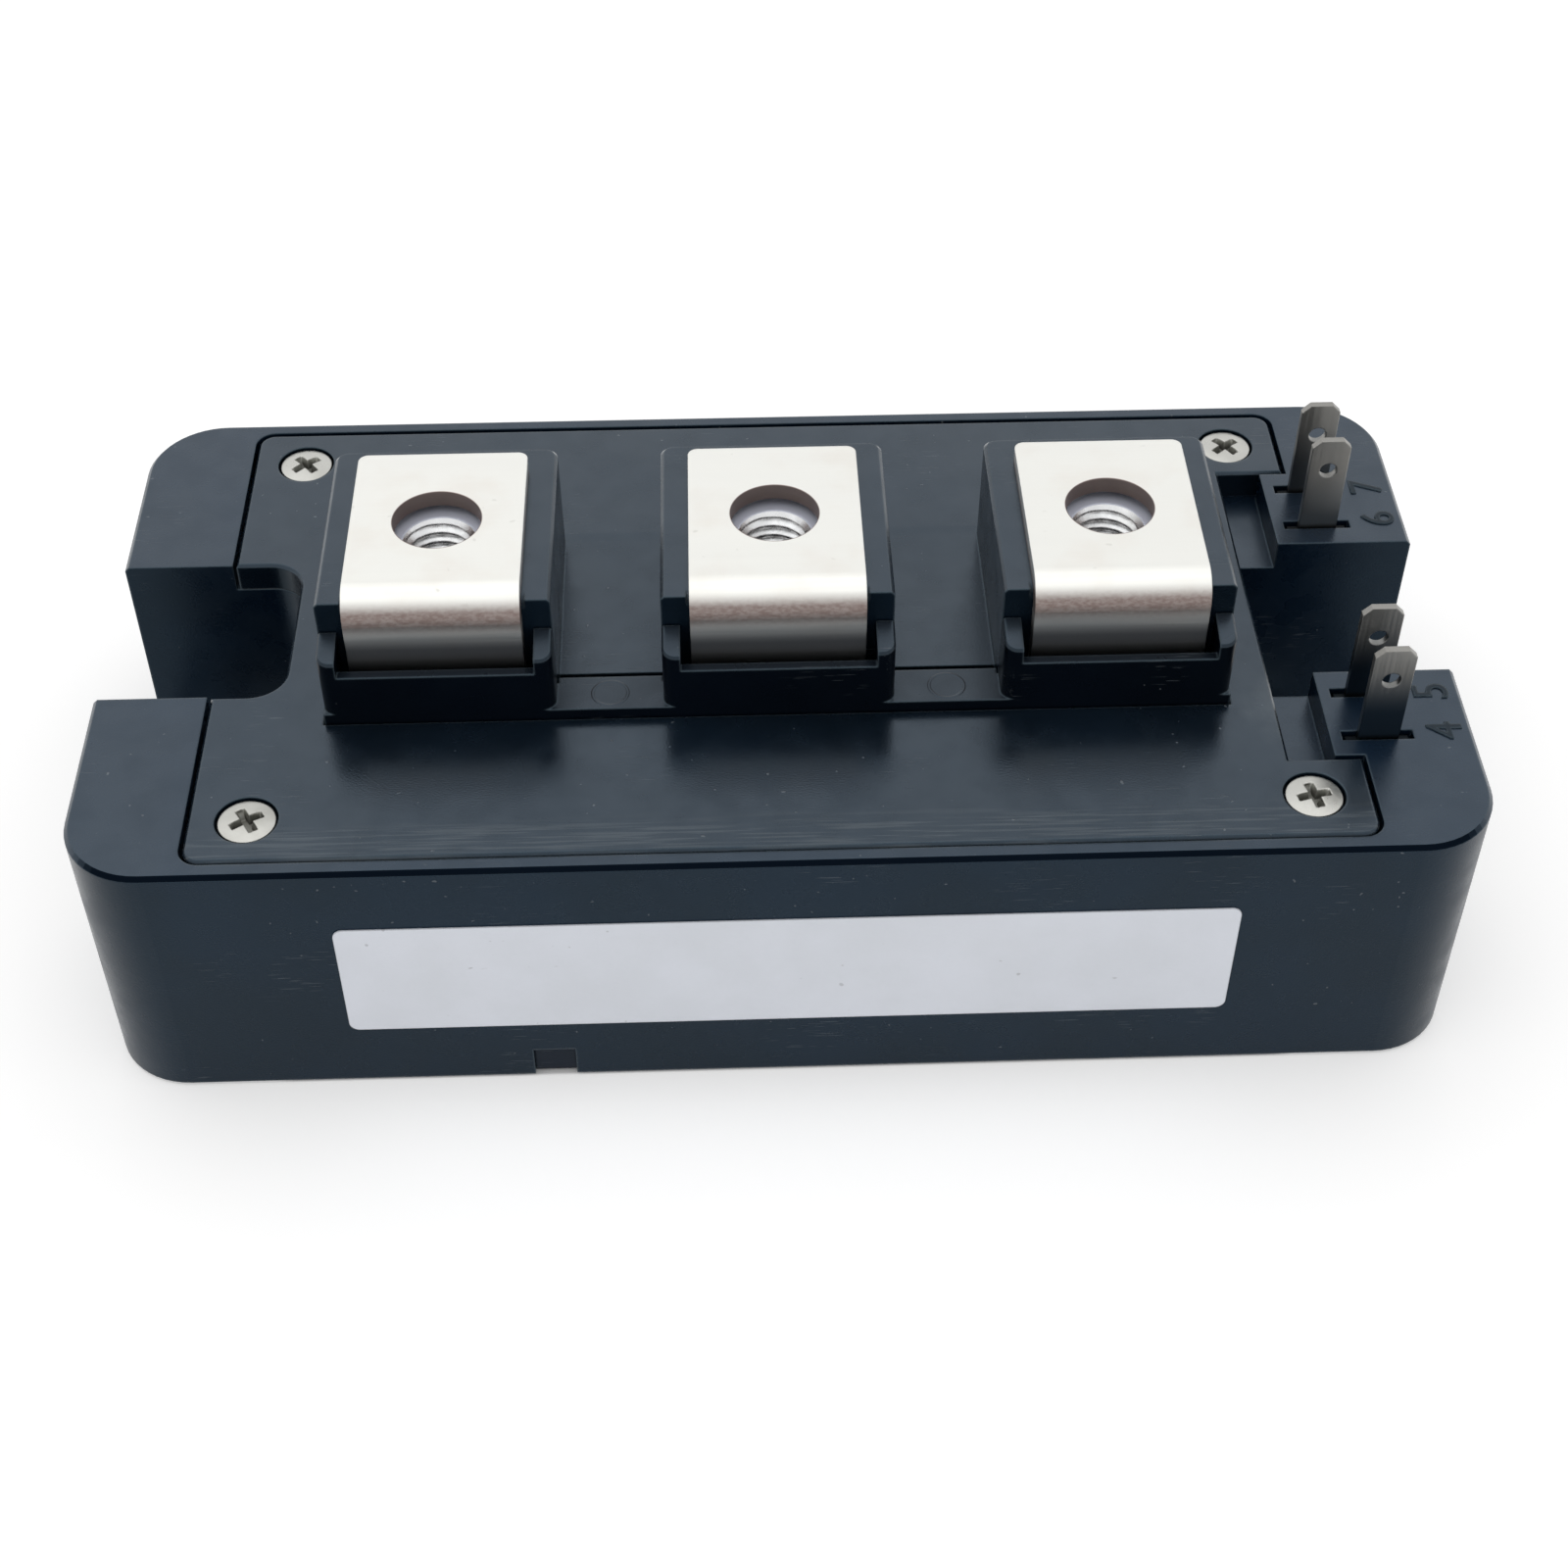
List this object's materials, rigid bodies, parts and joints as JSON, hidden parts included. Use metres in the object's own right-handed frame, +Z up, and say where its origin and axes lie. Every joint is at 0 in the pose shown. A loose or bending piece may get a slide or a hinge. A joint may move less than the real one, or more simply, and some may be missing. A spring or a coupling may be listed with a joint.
{
  "type": "half-bridge transistor power module",
  "caption": "Flat moulded power module on a metal base plate, with screw terminal straps in a row, blade tabs at one end and open notches over its mounting holes.",
  "frame": {"origin": "centre of the underside of the base plate", "axes": "+X along the length towards the blade tabs, +Y from the label face to the rear, +Z up out of the base plate"},
  "size_m": [0.094, 0.0481, 0.0305],
  "materials": {
    "housing": "smooth dark moulded plastic with a soft gloss",
    "plated_plate": "nickel-plated copper, satin",
    "plated_strap": "nickel-plated copper strip, satin",
    "tinned_tab": "tin-plated strip, satin",
    "plated_steel": "zinc-plated steel",
    "white_label": "plain matt white film",
    "bare_copper": "bare copper",
    "alumina": "white sintered plate",
    "silicon": "dark metallised chip",
    "wire_aluminium": "drawn wire",
    "clear_gel": "soft clear filling"
  },
  "bodies": {
    "root": {"base_plate": "plated_plate", "case": "housing", "lid": "housing", "terminal_holder": "housing", "terminal_nuts": "plated_steel", "lid_screws": "plated_steel", "label": "white_label", "strap_left": "plated_strap", "strap_middle": "plated_strap", "strap_right": "plated_strap", "signal_tab_g1": "tinned_tab", "signal_tab_e1": "tinned_tab", "signal_tab_e2": "tinned_tab", "signal_tab_g2": "tinned_tab", "front_back_copper": "bare_copper", "rear_back_copper": "bare_copper", "front_substrate": "alumina", "rear_substrate": "alumina", "front_circuit_copper": "bare_copper", "rear_circuit_copper": "bare_copper", "front_transistor_chip": "silicon", "rear_transistor_chip": "silicon", "front_diode_chip": "silicon", "rear_diode_chip": "silicon", "front_bond_wires": "wire_aluminium", "rear_bond_wires": "wire_aluminium", "arm_link": "bare_copper", "silicone_gel": "clear_gel"}
  },
  "joints": []
}
